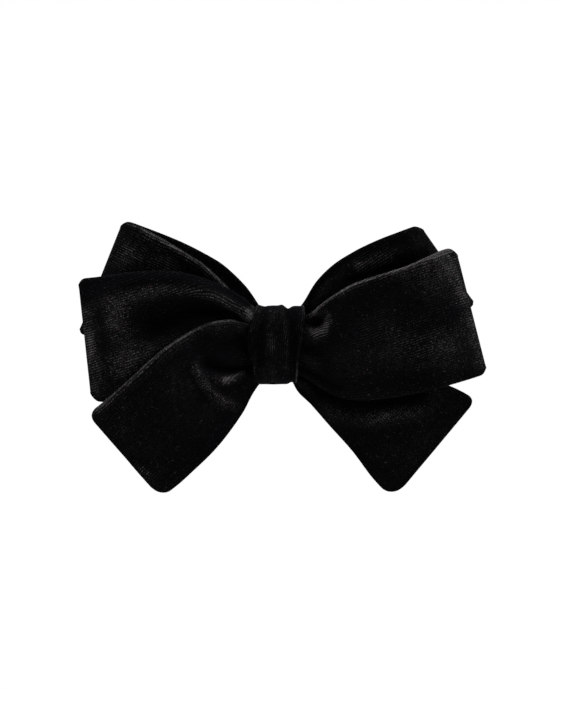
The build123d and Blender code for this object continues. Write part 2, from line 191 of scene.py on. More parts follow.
def tube_rings(c, lengths, across, half, radius, taper, n):
    """Rings of a flattened tube whose middle surface is the grid c with the normals n.

    lengths and across place each point on the flat cloth. half is the half thickness at each grid point
    and radius is the roundness of the tube's two sides. Both shrink by taper, one value for each ring.
    """
    half = half * taper[:, None]
    radius = radius * taper
    front = c + n * half[..., None]
    back = c - n * half[..., None]
    width = across[:, -1:]
    sides = []
    angles = np.linspace(math.pi / 2, -math.pi / 2, SIDE_POINTS + 2)[1:-1]
    for edge, inner in ((-1, -2), (0, 1)):
        out = c[:, edge] - c[:, inner]
        out /= np.maximum(np.linalg.norm(out, axis=-1, keepdims=True), TINY)
        if edge == 0:
            angles = -angles
        arc = [
            c[:, edge] + radius[:, None] * (math.cos(a) * out + math.sin(a) * n[:, edge])
            for a in angles
        ]
        sides.append(np.stack(arc, axis=1))
    ring = np.concatenate([front, sides[0], back[:, ::-1], sides[1]], axis=1)
    turn = math.pi * radius.mean()
    side_across = np.linspace(0, turn, SIDE_POINTS + 2)[1:-1]
    v = np.concatenate(
        [
            across,
            width + side_across,
            2 * width + turn - across[:, ::-1],
            2 * width + turn + side_across,
        ],
        axis=1,
    )
    v = np.concatenate([v, 2 * width + 2 * turn], axis=1)
    u = np.broadcast_to(lengths[:, None], v.shape)
    return ring, v, u


def cap_faces(ring_count, cols, offset):
    """Quads that close a tube's end by joining its front sheet to its back sheet."""
    side = (ring_count - 2 * cols) // 2
    back = lambda j: offset + cols + side + (cols - 1 - j)
    quads = [(offset + j, offset + j + 1, back(j + 1), back(j)) for j in range(cols - 1)]
    right = [offset + cols - 1] + [offset + cols + k for k in range(side)] + [back(cols - 1)]
    left = [back(0)] + [offset + 2 * cols + side + k for k in range(side)] + [offset]
    return quads + [tuple(right), tuple(left)]


def build_piece(name, parts, material):
    """One mesh object in metres from one or more tubes.

    Its UV layer "cloth" holds metres along and across the cloth, and a float attribute holds the nap with
    its painted highlights and painted shade.
    """
    vertices, faces, uvs, naps_and_painted_light = [], [], [], []
    base = 0
    for rings, v, u, cols, closed, nap_and_painted_light in parts:
        rows, ring = rings.shape[:2]
        index = np.arange(rows * ring).reshape(rows, ring) + base
        last = rows if closed else rows - 1
        for i in range(last):
            i2 = (i + 1) % rows
            ui, ui2 = u[i, 0], u[i2, 0] if i2 else u[i, 0] + (u[1, 0] - u[0, 0])
            for j in range(ring):
                j2 = (j + 1) % ring
                faces.append((index[i, j], index[i2, j], index[i2, j2], index[i, j2]))
                uvs += [(ui, v[i, j]), (ui2, v[i2, j]), (ui2, v[i2, j + 1]), (ui, v[i, j + 1])]
        if not closed:
            for i, turn in ((0, 1), (rows - 1, -1)):
                for quad in cap_faces(ring, cols, base + i * ring):
                    faces.append(quad[::turn])
                    uvs += [(u[i, 0], v[i, 0])] * len(quad)
        vertices.append(rings.reshape(-1, 3))
        naps_and_painted_light.append(nap_and_painted_light.ravel())
        base += rows * ring
    points = (np.concatenate(vertices) * MM).tolist()
    mesh = bpy.data.meshes.new(name)
    mesh.from_pydata(points, [], [tuple(int(k) for k in face) for face in faces])
    layer = mesh.uv_layers.new(name="cloth")
    layer.data.foreach_set("uv", (np.asarray(uvs, float) * MM).ravel())
    attribute = mesh.attributes.new("nap_and_painted_light", "FLOAT", "POINT")
    attribute.data.foreach_set("value", np.clip(np.concatenate(naps_and_painted_light), 0, 1).astype(np.float32))
    mesh.validate()
    mesh.update()
    mesh.polygons.foreach_set("use_smooth", [True] * len(mesh.polygons))
    piece = bpy.data.objects.new(name, mesh)
    bpy.context.scene.collection.objects.link(piece)
    mesh.materials.append(material)
    return piece


# ---------------------------------------------------------------- strips of the bow
def edge_grid(top, bottom, top_inset, bottom_inset, columns):
    """Points across from the top edge to the bottom edge, set in by an inset at each.

    It also returns each point's part of the way across, and the width between the two edges.
    """
    most = 0.49  # an edge stops just short of the strip's middle
    across = np.linspace(0, 1, columns)
    span = bottom - top
    width = np.maximum(np.linalg.norm(span, axis=-1), TINY)
    low = np.clip(top_inset / width, 0, most)[:, None]
    high = 1 - np.clip(bottom_inset / width, 0, most)[:, None]
    part = low + (high - low) * across[None, :]
    return top[:, None, :] + span[:, None, :] * part[..., None], part, width


def edge_roll(part, width, rolls):
    """How far the cloth recedes near its top and bottom edges: rolls is (depth, reach) for each edge."""
    total = 0
    for distance, (depth, reach) in ((part, rolls[0]), (1 - part, rolls[1])):
        d = distance * width[:, None]
        total = total + depth * np.clip(1 - d / reach, 0, 1) ** 2
    return total


def pleats(part, distance, depth, count, phase, fade):
    """Gathers that fan out from the knot and die away."""
    return depth * np.exp(-((distance / fade) ** 2)) * np.sin(2 * math.pi * count * part + phase)


def corner_inset(remain, radius):
    """How far an edge is set in to round a corner, at a distance remain from the end."""
    short = np.clip(radius - remain, 0, radius)
    return radius - np.sqrt(radius**2 - short**2) + EDGE_RADIUS


def flat_across(part, width, x, z, distance, wales):
    """Distance across the flat cloth, which the wales follow.

    Towards the knot the gathers squeeze the wales together. Further out they all run at one angle to X.
    """
    near = part * (WALES_LOOSE * width + (1 - WALES_LOOSE) * STRIP_WIDTH)[:, None]
    angle = math.radians(wales)
    far = x * math.sin(angle) - z * math.cos(angle)
    spread = np.broadcast_to(smoothstep(WALES_GATHERED, WALES_PARALLEL, distance), x.shape)
    between = spread * (1 - spread)
    far = far + ((near - far) * between).sum() / between.sum()
    return near * (1 - spread) + far * spread


def thickness(part, width):
    """Half thickness: a little fuller along the sides, where the seam allowance lies."""
    d = np.minimum(part, 1 - part) * width[:, None]
    return CLOTH_HALF + (EDGE_RADIUS - CLOTH_HALF) * np.exp(-((d - EDGE_RADIUS) / EDGE_FULLNESS) ** 2)


def nap_light_and_shade(relief, gathers, part, width, marks, edge_lights_and_shades):
    """How far the pile lies open on a sheet, with painted highlights and painted shade added.

    Crests are lighter, partly as pile rubbed open and partly as painted highlight, and hollows get painted
    shade. The marks are painted light and shade.
    The edge values give painted highlight where positive and painted shade where negative, one for the top
    edge and one for the bottom edge.
    """
    # painted highlight or painted shade along the top and bottom edges
    painted_edges = 0
    for distance, edge_light_and_shade in ((part, edge_lights_and_shades[0]), (1 - part, edge_lights_and_shades[1])):
        inside = np.maximum(distance * width[:, None] - EDGE_RADIUS, 0)
        painted_edges = painted_edges + edge_light_and_shade * np.exp(-((inside / EDGE_LIGHT_REACH) ** 2))
    # crests lighter, partly rubbed pile and partly painted highlight; hollows darker as painted shade
    crest_light_and_hollow_shade = CREST_LIGHT_AND_HOLLOW_SHADE * np.tanh(relief / HIGH_CREST)
    return PLAIN_NAP + crest_light_and_hollow_shade + GATHER_LIGHT_AND_SHADE * gathers + painted_edges + marks


def loop_part(front_top, front_bottom, back_top, back_bottom, front, fold, back,
              corners, folds, marks, rolls, edge_lights_and_shades, gather, wales, seed):
    """One lobe of a band: out along the front panel, round the fold and back along the back panel.

    Tops and bottoms are the edges of the panels as (x, z). front, fold and back are the section as (x, y).
    corners holds the radius of the top and of the bottom corner at the fold. rolls and the edge light
    values hold one entry for the top edge and one for the bottom edge; an edge light value is painted
    highlight where positive and painted shade where negative. The marks are painted light and shade.
    gather is the depth, count, phase and fade of the pleats.
    """
    fold_nap = 0.1  # the pile opens where the cloth turns
    fold_nap_reach = 3.5
    # painted shade along the edges of the back panel
    back_edge_shade = -0.1
    path = front + [fold] + back[::-1]
    total = curve_length(path)
    rows = int(total / STEP)
    s = np.linspace(0, 1, rows)
    section = smooth_curve(path, s)
    reach = fold[0]
    out = np.clip(section[:, 0] / reach, 0, 1)
    turn_start = curve_length(front) / total
    turn_end = 1 - curve_length(back) / total
    behind = smoothstep(turn_start, turn_end, s)[:, None]
    facing = 1 - behind
    top = smooth_curve(front_top, out) * facing + smooth_curve(back_top, out) * behind
    bottom = smooth_curve(front_bottom, out) * facing + smooth_curve(back_bottom, out) * behind
    remain = (1 - out) * reach
    insets = [corner_inset(remain, radius) for radius in corners]
    plane, part, width = edge_grid(top, bottom, *insets, STRIP_COLUMNS)
    x, z = plane[..., 0], plane[..., 1]
    distance = section[:, :1]
    y = np.broadcast_to(section[:, 1:2], x.shape).copy()
    relief = fold_relief(x, z, folds) * facing
    gathers = pleats(part, distance, *gather)
    towards_head = 1 - 2 * behind
    flat_at_fold = 1 - 0.75 * out[:, None] ** 6
    y -= relief
    y += edge_roll(part, width, rolls) * towards_head * flat_at_fold
    y -= gathers * towards_head
    y += unevenness(s[:, None] * total, part * STRIP_WIDTH, UNEVENNESS, seed)
    turned = fold_nap * np.exp(-((remain / fold_nap_reach) ** 2))[:, None]
    # painted edge highlight and shade on the front panel, painted shade along the edges behind
    edge_lights_and_shades = [edge_light_and_shade * facing + back_edge_shade * behind for edge_light_and_shade in edge_lights_and_shades]
    # painted highlights and painted shade from the marks on the front panel, and the pile opened at the
    # fold
    marked = fold_relief(x, z, marks) * facing + turned
    nap_and_painted_light = nap_light_and_shade(relief, gathers / gather[0], part, width, marked, edge_lights_and_shades)
    # painted light lifting the shadow inside the loop
    inner = np.full_like(nap_and_painted_light, INNER_FILL_LIGHT)
    across = flat_across(part, width, x, z, distance, wales)
    return grid_of(x, y, z), s * total, across, thickness(part, width), np.ones(rows), nap_and_painted_light, inner


def tail_part(top, bottom, depth, corners, folds, marks, rolls, edge_lights_and_shades, gather, wales, seed):
    """A flat closed tube from the knot to a turned end.

    top and bottom are its edges as (x, z), and depth is its section as (distance from the knot, y). The
    rest is as for loop_part, with the corners at the tail's end.
    """
    corner_rows = 18
    tip_gap = 0.02
    # painted shade darkening the turned end of the tail
    tip_shade = 0.15
    tip_shade_reach = 1.2
    thinnest = 0.0025
    length = (curve_length(top) + curve_length(bottom)) / 2
    rows = int(length / STEP)
    body = np.linspace(0, 1 - max(corners) / length, rows)
    bend = np.linspace(0, math.pi / 2, corner_rows)[1:]
    corner = 1 - max(corners) / length * (1 - np.sin(bend))
    out = np.concatenate([body, corner])
    out[-1] = 1 - tip_gap / length
    remain = (1 - out) * length
    insets = [corner_inset(remain, radius) for radius in corners]
    edges = smooth_curve(top, out), smooth_curve(bottom, out)
    plane, part, width = edge_grid(*edges, *insets, STRIP_COLUMNS)
    x, z = plane[..., 0], plane[..., 1]
    distance = (out * length)[:, None]
    section = smooth_curve(depth, out)
    y = np.broadcast_to(section[:, 1:2], x.shape).copy()
    relief = fold_relief(x, z, folds)
    gathers = pleats(part, distance, *gather)
    y -= relief
    y += edge_roll(part, width, rolls)
    y -= gathers
    y += unevenness(distance, part * STRIP_WIDTH, UNEVENNESS, seed)
    # painted light and shade from the relief, the edges and the marks
    nap_and_painted_light = nap_light_and_shade(relief, gathers / gather[0], part, width, fold_relief(x, z, marks), edge_lights_and_shades)
    nap_and_painted_light -= tip_shade * np.exp(-((remain / tip_shade_reach) ** 2))[:, None]
    back_nap_and_painted_light = nap_light_and_shade(-relief, -gathers / gather[0], part, width, 0, edge_lights_and_shades)
    rounded = 1 - (1 - np.clip(remain / EDGE_RADIUS, 0, 1)) ** 2
    taper = np.sqrt(np.clip(rounded, thinnest, 1))
    bead = (EDGE_RADIUS - CLOTH_HALF) * np.exp(-((remain - EDGE_RADIUS) / EDGE_FULLNESS) ** 2)
    half = np.minimum(thickness(part, width) + bead[:, None], EDGE_RADIUS)
    across = flat_across(part, width, x, z, distance, wales)
    return grid_of(x, y, z), out * length, across, half, taper, nap_and_painted_light, back_nap_and_painted_light


def tube_from(centre, lengths, across, half, taper, nap_and_painted_light, back_nap_and_painted_light):
    """Rings for a strip, with the normals turned so that its front sheet faces the viewer at the root."""
    n = surface_normals(centre)
    if np.dot(n[len(n) // 4].mean(axis=0), (0, -1, 0)) < 0:
        n = -n
    rings, v, u = tube_rings(centre, lengths, across, half, EDGE_RADIUS, taper, n)
    return rings, v, u, centre.shape[1], False, ring_naps(nap_and_painted_light, back_nap_and_painted_light)


# Each fold and each mark below is (line, height or nap, width at its start, width at its end), with the
# line as (x, z). A mark paints a highlight along its line where it is positive and paints shade where it
# is negative.

# Section that both front loops share.
front_band_fold = (71.5, -16.2)
front_band_back = [(0, -7.6), (8, -7.8), (20, -10.2), (36, -12.6), (52, -13.3), (64, -13.5), (69, -14)]

# Front-left loop.
front_left_top = [
    (-6, 11.8), (-9, 12.6), (-12.6, 16.6), (-22.5, 22.5), (-32.5, 25.9), (-42.5, 27.2),
    (-55, 26.7), (-65, 25.3), (-73.9, 24.5),
]
front_left_bottom = [(-6, -9.5), (-11, -10), (-22, -14), (-37, -18.8), (-52, -20.8), (-68.9, -20.8)]
front_left_folds = [
    (
        [(-63, 17.5), (-57.6, 20.3), (-49.9, 22.3), (-42.5, 23), (-32.5, 21.4), (-22.5, 17.8), (-11, 9.8)],
        3.2, 5.0, 1.7,
    ),
    ([(-46, 9), (-38, 12.2), (-28, 13.2), (-18, 9.4)], -5.6, 6.0, 2.8),
    ([(-62, -9), (-52, -5), (-44, 0)], 1.8, 8, 6),
]
# Painted highlights and painted shade on the front-left loop.
front_left_light_and_shade = [
    ([(-72, 19), (-55, 23.4), (-42.5, 25.0), (-32, 23.8), (-22, 20.4), (-13, 14.8)], -0.9, 3.0, 1.1),
    ([(-62, 9), (-56, 14.5), (-46, 18.6), (-34, 19.4), (-22, 16.4), (-12, 10.5)], 0.24, 4.4, 1.7),
    ([(-61, 7), (-57, 0), (-60, -12)], 0.18, 4.8, 4.5),
    ([(-66, 16), (-64.7, 0), (-62, -16)], -0.16, 1.5, 1.5),
    ([(-71.5, 12), (-70, -1)], 0.36, 3.2, 3),
    ([(-58, 7), (-52, 6)], 0.14, 4, 4),
    ([(-70, 2), (-69.5, -6), (-67.5, -17)], 0.22, 3, 3),
    ([(-50, -5), (-38, -1)], 0.14, 4.8, 4),
    ([(-43, 10.5), (-32, 12.8), (-19, 10.4)], -0.3, 5.5, 2.6),
    ([(-50, 5), (-40, 7)], 0.1, 4, 4),
    ([(-12.6, 12.8), (-10.6, 9.4)], 0.3, 0.8, 0.8),
]
front_left = loop_part(
    front_left_top, front_left_bottom, front_left_top, front_left_bottom,
    front=[
        (0, -10.4), (6, -10.6), (12, -12.2), (22, -17.6), (34, -22.4), (46, -24.2), (56, -23.4),
        (64, -21), (69, -18.6),
    ],
    fold=front_band_fold, back=front_band_back, corners=(2.2, 3.2),
    folds=front_left_folds, marks=front_left_light_and_shade,
    rolls=((0.5, 2), (2.0, 5)), edge_lights_and_shades=(0.12, -0.12), gather=(0.7, 3, 0.4, 13), wales=18, seed=11,
)

# Front-right loop.
front_right_top = [
    (6, 11.3), (9.9, 11.4), (15.4, 15.3), (20.6, 18.9), (25.3, 21.7), (33.3, 24.8), (41.2, 27.2),
    (47.1, 29.2), (53.1, 31.9), (59.4, 34.9), (64.1, 36.2),
]
front_right_bottom = [
    (6, -11), (9, -12.2), (16.6, -17), (23.8, -19.9), (31.3, -20.5), (38.8, -19.8), (53.8, -17),
    (63.4, -14.5), (76.0, -10.7),
]
front_right_folds = [
    ([(9, 10.2), (14.6, 8.6)], -3.2, 1.7, 1.9),
    ([(13.5, 13.4), (17.4, 9.5), (16.8, 5.5), (13, 3)], 1.7, 1.6, 2.0),
    ([(8.5, -8.3), (14.2, -11), (22.2, -15.6)], -0.8, 1.3, 1.6),
    ([(20, -11), (28.5, -14.6), (38, -16)], 0.5, 3.2, 4),
    ([(10, 10.5), (20.6, 17.4), (33.3, 23.2), (47.1, 27.8), (60, 33)], 0.9, 1.7, 2.2),
    ([(48, -4), (58, 10)], 1.5, 11, 14),
]
# Painted highlights and painted shade on the front-right loop.
front_right_light_and_shade = [
    ([(60, 33), (66.5, 19), (72, 3), (74, -8)], 0.28, 4.2, 2.2),
    ([(47, 24), (58, 28)], 0.2, 4.6, 5),
    ([(46, 13), (56, 14), (63, 16)], -0.14, 3.5, 3),
    ([(18, -13.5), (38, -15), (54, -15)], -0.28, 4.4, 3.4),
    ([(34, 3), (47, 1), (60, -1)], 0.12, 7, 6),
    ([(50, 6.5), (59, 9.3), (67, 13.5)], -0.22, 2.6, 2.2),
    ([(22, 12), (34, 17), (46, 17)], -0.14, 6, 6),
    ([(50, -13), (64, -11.5), (75, -11)], -0.26, 3.4, 2.4),
    ([(17.6, 12), (18, 8.4), (16.4, 5.8)], 0.4, 1.6, 1.6),
    ([(16.4, 6.4), (13.8, 4.8), (10.6, 6)], 0.55, 1.5, 1.5),
]
front_right = loop_part(
    front_right_top, front_right_bottom, front_right_top, front_right_bottom,
    front=[
        (0, -10.4), (6, -10.6), (12, -12), (22, -16.8), (34, -21.6), (46, -24), (56, -23.6),
        (64, -21.2), (69, -18.6),
    ],
    fold=front_band_fold, back=front_band_back, corners=(3.6, 2.4),
    folds=front_right_folds, marks=front_right_light_and_shade,
    rolls=((0.6, 3), (2.0, 5)), edge_lights_and_shades=(0.66, -0.15), gather=(0.6, 3, 1.9, 12), wales=19, seed=12,
)

# Back-left loop.
back_left_front_top = [
    (-6, 11.3), (-9.5, 14.2), (-17.6, 19.8), (-23.9, 26), (-28.4, 30.1), (-34.2, 33.7),
    (-43.2, 39.3), (-50.8, 43.4), (-57.6, 46.6),
]
back_left_back_top = [
    (-6, 11.8), (-8.4, 15.8), (-12.6, 21.8), (-17.1, 26.4), (-21.7, 30.4), (-28.4, 34.4),
    (-35.3, 37.9), (-47.4, 42.9), (-57.6, 46.6),
]
back_left_bottom = [(-6, -12.6), (-12, -9.4), (-30, -2), (-50, 3.0), (-74.7, 3.6)]
back_left = loop_part(
    back_left_front_top, back_left_bottom, back_left_back_top, back_left_bottom,
    front=[(0, -5.3), (8, -5.6), (20, -7), (32, -9.4), (50, -11), (64, -9.8)],
    fold=(69, -6.4),
    back=[(0, -2.8), (12, -2.9), (30, -2.6), (50, -2.4), (64, -3.2)],
    corners=(2.8, 2.2),
    folds=[([(-54, 41), (-34, 31), (-18, 18)], 0.8, 2.5, 1.6)],
    # painted highlights and painted shade
    marks=[
        ([(-57, 34), (-50, 35), (-42, 30)], 0.32, 5, 5),
        ([(-54, 30), (-38, 26), (-27, 20)], 0.24, 5, 5),
        ([(-56, 45), (-54, 42.5)], -0.3, 3, 3),
    ],
    rolls=((0.6, 3), (1.2, 5)), edge_lights_and_shades=(0.6, -0.12), gather=(0.5, 3, 2.2, 12), wales=-26, seed=13,
)

# Back-right loop.
back_right_top = [
    (6, 11.6), (9.0, 16.2), (14, 24.3), (19.9, 30), (27.5, 34.8), (37.2, 39.4), (45.1, 42.4),
    (51.2, 44.7),
]
back_right_bottom = [(6, -12.6), (12, -8), (30, 1), (50, 9), (72.6, 14.2)]
back_right = loop_part(
    back_right_top, back_right_bottom, back_right_top, back_right_bottom,
    front=[(0, -5.3), (8, -5.6), (20, -7), (32, -9.4), (50, -11), (62, -9.8)],
    fold=(67, -6.4),
    back=[(0, -2.8), (12, -2.9), (30, -2.6), (50, -2.4), (62, -3.2)],
    corners=(2.8, 2.2),
    folds=[
        ([(26, 29.5), (34, 31.4), (43, 33.4)], 0.8, 2.6, 3.2),
        ([(27, 24), (42, 29), (53.5, 33)], -0.9, 1.2, 1.4),
        ([(11, 16), (18.6, 25.6), (26, 31)], -0.9, 1.6, 2.4),
    ],
    # painted highlights and painted shade
    marks=[
        ([(29.5, 29.6), (35, 31), (40.5, 31.8)], 0.5, 2.2, 2.4),
        ([(22, 30), (36, 36.5), (50, 41)], -0.16, 2.6, 3.2),
        ([(42, 30), (54, 35)], -0.1, 3.5, 3.5),
        ([(16, 23.5), (28, 27), (42, 30.6), (53.5, 34.6)], 0.14, 0.45, 0.4),
        ([(12, 18), (17, 22)], 0.12, 2.5, 2),
    ],
    rolls=((0.8, 4), (1.2, 5)), edge_lights_and_shades=(-0.14, -0.12), gather=(0.6, 3, 0.2, 13), wales=31, seed=14,
)

# Left tail, in front of everything on its side.
left_tail = tail_part(
    top=[
        (-5, 7.6), (-11.1, 7.9), (-14.8, 8.8), (-18.2, 9.5), (-21.9, 9.2), (-27.2, 7.9), (-32.5, 5.5),
        (-40.4, 0.3), (-48.3, -6.2), (-56.2, -13.5), (-64.7, -20.9), (-70.5, -25.4),
    ],
    bottom=[
        (-5, -11), (-7.4, -13.8), (-10.5, -18.2), (-13.7, -24.6), (-18, -31.1), (-23.3, -37.8),
        (-31.7, -46.1), (-38.2, -51.9), (-43.8, -55.9),
    ],
    depth=[
        (0, -11.6), (6, -11.7), (11, -12.4), (16, -16.2), (26, -22), (40, -26.4), (60, -28.2),
        (82, -27.6),
    ],
    corners=(3.6, 5.4),
    folds=[
        ([(-66, -23), (-48, -8.6), (-32.5, 2.8), (-21, 6.6), (-12, 5.6)], 0.9, 1.6, 1.6),
        ([(-29, -1), (-20, 0.5), (-13, 1)], -1.6, 4.0, 4.0),
        ([(-27, -7.2), (-21, -9.3), (-13, -8.6)], -3.4, 2.4, 1.7),
        ([(-24, -13), (-17, -12.4), (-13.5, -9.8)], 1.8, 1.4, 1.2),
        ([(-31.4, -8.1), (-27.8, -14.4), (-23.6, -19.2), (-16.3, -22.9)], 1.6, 1.4, 1.7),
        ([(-53, -44), (-47, -49)], 0.7, 1.8, 1.8),
    ],
    # painted highlights and painted shade
    marks=[
        ([(-33, -28), (-26, -36)], 0.06, 4, 3.5),
        ([(-13, -21), (-22, -33), (-38, -49)], -0.2, 5, 6.5),
        ([(-14.5, 7), (-14, 1)], 0.16, 2.4, 2.4),
        ([(-64, -27), (-58, -34)], 0.1, 5, 4),
        ([(-28, 3), (-22, -2), (-14, 0)], -0.25, 3.5, 4),
        ([(-27, -7), (-20, -9.4), (-13, -8.4)], -0.5, 2.2, 1.6),
        ([(-20.5, -13), (-17, -12), (-13.5, -9.5)], 0.5, 1.0, 0.9),
        ([(-31.4, -8.1), (-27.8, -14.4), (-23.6, -19.2), (-17, -22.8)], 0.13, 0.9, 1.4),
        ([(-53, -45), (-49, -47)], 0.3, 1.5, 1.5),
        ([(-19, -17), (-12, -13.5)], -0.3, 2.4, 2),
    ],
    rolls=((0.4, 2.5), (1.8, 5)), edge_lights_and_shades=(0.64, -0.15), gather=(0.5, 2.5, 0.8, 11), wales=42, seed=15,
)

# Right tail, between the front-right loop and the back loops.
right_tail = tail_part(
    top=[(5, -1), (8.5, -2), (24, -8), (45, -12), (63.4, -15.3), (72.7, -20.4)],
    bottom=[(5, -13), (6.2, -16.4), (12, -22.6), (18, -29.5), (27, -39.6), (35.2, -50.4), (42, -57.2)],
    depth=[(0, -7), (5, -7), (14, -7.4), (30, -9), (50, -11), (78, -11.5)],
    corners=(3.2, 7.0),
    folds=[
        (
            [(9, -13.6), (12.2, -17.2), (16.4, -21.8), (21, -25), (28.4, -27), (34.3, -26.8), (42, -25.2),
             (54, -22)],
            1.9, 1.7, 4.5,
        ),
        ([(14, -14), (30, -20), (50, -17)], -1.2, 3, 3),
    ],
    # painted highlights and painted shade
    marks=[
        ([(14, -16), (30, -21), (52, -18)], -0.3, 2.6, 2.2),
        ([(20, -30), (40, -31), (60, -28)], -0.08, 3, 3),
        ([(15, -20.5), (21, -24.6), (28.4, -26.8), (34.3, -26.6), (44, -24.6)], 0.06, 0.8, 1.4),
        ([(8, -19), (24, -36), (38, -51)], -0.16, 6, 8),
        ([(55, -22), (64, -22)], -0.12, 4, 4),
        ([(8, -12), (15, -18.5)], -0.45, 3, 2.6),
    ],
    rolls=((1.0, 4), (0.8, 4)), edge_lights_and_shades=(0.0, -0.15), gather=(0.9, 3, 0.8, 14), wales=-41, seed=16,
)


# ---------------------------------------------------------------- gathered wrap round the middle
def edge_at(edge, z):
    """X of a wrap edge, a line of (x, z) points, at each height z."""
    line = smooth_curve(edge, np.linspace(0, 1, EDGE_SAMPLES))
    heights, places = np.array(sorted((high, side) for side, high in line)).T
    return np.interp(z, heights, places)


def wrap_part():
    """A closed ring of gathered velvet round the strips and the clip's base plate."""
    low, high = [np.array(corner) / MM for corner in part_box("centre_wrap")]
    proud = 0.4  # how far the cloth stands in front of the CAD ring
    back = high[1] - WRAP_HALF
    front = low[1] + WRAP_HALF - proud
    top = high[2] - WRAP_HALF
    upper = [
        (back, 0), (back, 4.4), (back - 1, 7.2), (back - 2, 10), (back - 3.8, 13), (-6.5, top + 0.1),
        (front + 2.2, top - 1.4), (front + 0.4, 9),
    ]
    lower = [
        (front + 0.4, -9), (front + 2.2, 1.4 - top), (-6.5, -top - 0.1), (back - 5.5, -top),
        (back - 1.6, -12.4), (back, -8.5), (back, -4),
    ]
    ring = upper + [(front, 0)] + lower + [(back, 0)]
    total = curve_length(ring)
    rows = int(total / WRAP_STEP)
    s = np.arange(rows) / rows
    path = smooth_curve(ring, s)
    tangent = smooth_curve(ring, (s + TANGENT_REACH) % 1) - smooth_curve(ring, (s - TANGENT_REACH) % 1)
    tangent /= np.linalg.norm(tangent, axis=-1, keepdims=True)
    outward_y, outward_z = tangent[:, 1:], -tangent[:, :1]

    # In front the edges follow the photo's shape. Behind they run straight.
    left_edge = [(-9.2, -14.6), (-10.8, -7.2), (-12.3, -1.1), (-12.6, 3.2), (-11.2, 8.1), (-9.4, 14.6)]
    right_edge = [
        (6.4, -14.6), (7.2, -10.3), (7.5, -5.1), (8.2, -0.5), (9.1, 5.6), (9.7, 11.1), (9.2, 14.6),
    ]
    facing = smoothstep(0, -7, path[:, :1])
    z = path[:, 1:]
    left = edge_at(left_edge, z) * facing + low[0] * WRAP_BACK_SHARE * (1 - facing)
    right = edge_at(right_edge, z) * facing + high[0] * WRAP_BACK_SHARE * (1 - facing)
    part = np.linspace(0, 1, WRAP_COLUMNS)[None, :]
    inset = EDGE_RADIUS * 0.75
    x = (left + inset) + (right - left - 2 * inset) * part
    z = np.broadcast_to(z, x.shape)
    folds = [
        ([(2.8, 15), (4.0, 9), (4.9, 2), (4.8, -6), (4.2, -15)], -1.0, 1.2, 1.0),
        ([(0.6, 14), (1.6, 9), (2.4, 2), (2.2, -8)], 0.4, 1.0, 1.0),
        ([(-5.6, 13), (-6.2, 9), (-7.8, 2), (-7.4, -6)], -0.8, 0.9, 1.2),
        ([(-2.2, 12), (-3.4, 3), (-2.4, -12)], 0.3, 2.0, 2.2),
        ([(-8.4, 15), (-8, 12.5)], 0.45, 1.0, 1.0),
        ([(8.9, 15), (8.7, 12)], 0.5, 0.6, 0.6),
        ([(-9.8, 10), (-11.2, 3), (-10.4, -6)], -0.35, 0.4, 0.4),
    ]
    lift = fold_relief(x, z, folds) * facing
    lift = lift + unevenness(s[:, None] * total, part * (right - left), WRAP_UNEVENNESS, 21) * facing
    from_left = part * WRAP_SEEN
    from_right = (1 - part) * WRAP_SEEN
    roll_left = 0.35 * np.clip(1 - from_left / WRAP_ROLL, 0, 1) ** 2
    roll_right = 0.3 * np.clip(1 - from_right / WRAP_ROLL, 0, 1) ** 2
    lift = lift - (roll_left + roll_right) * facing
    y = path[:, :1] + outward_y * lift
    z = z + outward_z * lift
    normal = grid_of(np.zeros_like(x), outward_y + np.zeros_like(x), outward_z + np.zeros_like(x))
    half = np.full(x.shape, WRAP_HALF)
    across = np.broadcast_to(part * WRAP_WIDTH, x.shape)
    tube = tube_rings(grid_of(x, y, z), s * total, across, half, WRAP_HALF, np.ones(rows), normal)

    # painted highlights along the wrap's two rolled edges
    left_edge_highlight = 0.3 * np.exp(-(((from_left - 0.3) / 0.4) ** 2))
    right_edge_highlight = 0.5 * np.exp(-(((from_right - 0.3) / 0.5) ** 2))
    # painted highlight lines and patches, and painted shade in the valleys
    marks = [
        ([(-9.2, 13.6), (-10.2, 8.4), (-10.9, 5)], 0.4, 0.3, 0.3),
        ([(-10.9, -2.5), (-10.5, -8.2)], 0.4, 0.3, 0.3),
        ([(-9.2, -2.6), (-9.3, -7.7), (-9.6, -12)], 0.4, 0.3, 0.3),
        ([(6.3, -6), (6.0, -14)], 0.35, 0.3, 0.3),
        ([(5.4, 11), (6.2, 0), (5.2, -8)], -0.22, 1.6, 1.5),
        ([(-7.4, 3), (-8, -1)], -0.22, 2.2, 2.2),
        ([(-4.2, 4.6), (-3.2, -0.5)], 0.28, 1.6, 1.8),
        ([(2.6, 12), (2.4, 6)], 0.06, 1.0, 0.9),
    ]
    marked = (left_edge_highlight + right_edge_highlight + fold_relief(x, z, marks)) * facing
    # painted light on the crests and painted shade in the valleys of the relief
    nap_and_painted_light = PLAIN_NAP + WRAP_CREST_LIGHT_AND_SHADE * np.tanh(lift / WRAP_HIGH_CREST) + marked
    inner = np.full_like(nap_and_painted_light, PLAIN_NAP)
    return (*tube, WRAP_COLUMNS, True, ring_naps(nap_and_painted_light, inner)), total


